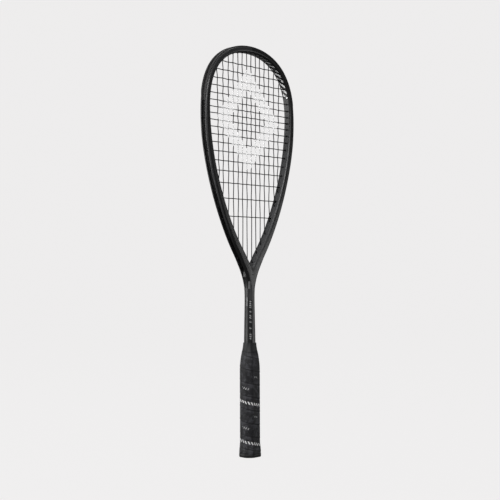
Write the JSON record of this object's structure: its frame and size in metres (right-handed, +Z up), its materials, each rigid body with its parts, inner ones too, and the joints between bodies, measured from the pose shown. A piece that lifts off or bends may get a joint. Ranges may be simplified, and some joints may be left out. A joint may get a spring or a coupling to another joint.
{
  "type": "squash racket",
  "caption": "Squash racket with a teardrop head, woven strings, moulded throat and shaft, and a wound octagonal grip.",
  "frame": {"origin": "centre of the flat end of the butt, on the racket's long axis", "axes": "+Z up the shaft to the head, +X across the face of the strings, +Y through the face to its back"},
  "size_m": [0.208, 0.0336, 0.686],
  "materials": {
    "carbon": "satin charcoal lacquer over moulded carbon fibre",
    "bumper": "moulded black nylon",
    "grommet": "moulded black nylon",
    "string": "coated black nylon string",
    "foam": "rigid moulded polyurethane foam",
    "cap": "moulded black plastic",
    "badge": "glossy dark grey plastic plate",
    "steel": "bright steel wire",
    "grip": "perforated black synthetic grip tape",
    "collar": "smooth black rubber"
  },
  "bodies": {
    "root": {"frame": "carbon", "bumper_guard": "bumper", "grommet_strip_left": "grommet", "grommet_strip_right": "grommet", "throat_grommet_left": "grommet", "throat_grommet_right": "grommet", "main_string": "string", "cross_string": "string", "handle_pallet_front": "foam", "handle_pallet_back": "foam", "butt_cap": "cap", "butt_cap_badge": "badge", "cap_staple_front": "steel", "cap_staple_back": "steel", "grip_tape": "grip", "grip_collar": "collar"}
  },
  "joints": []
}
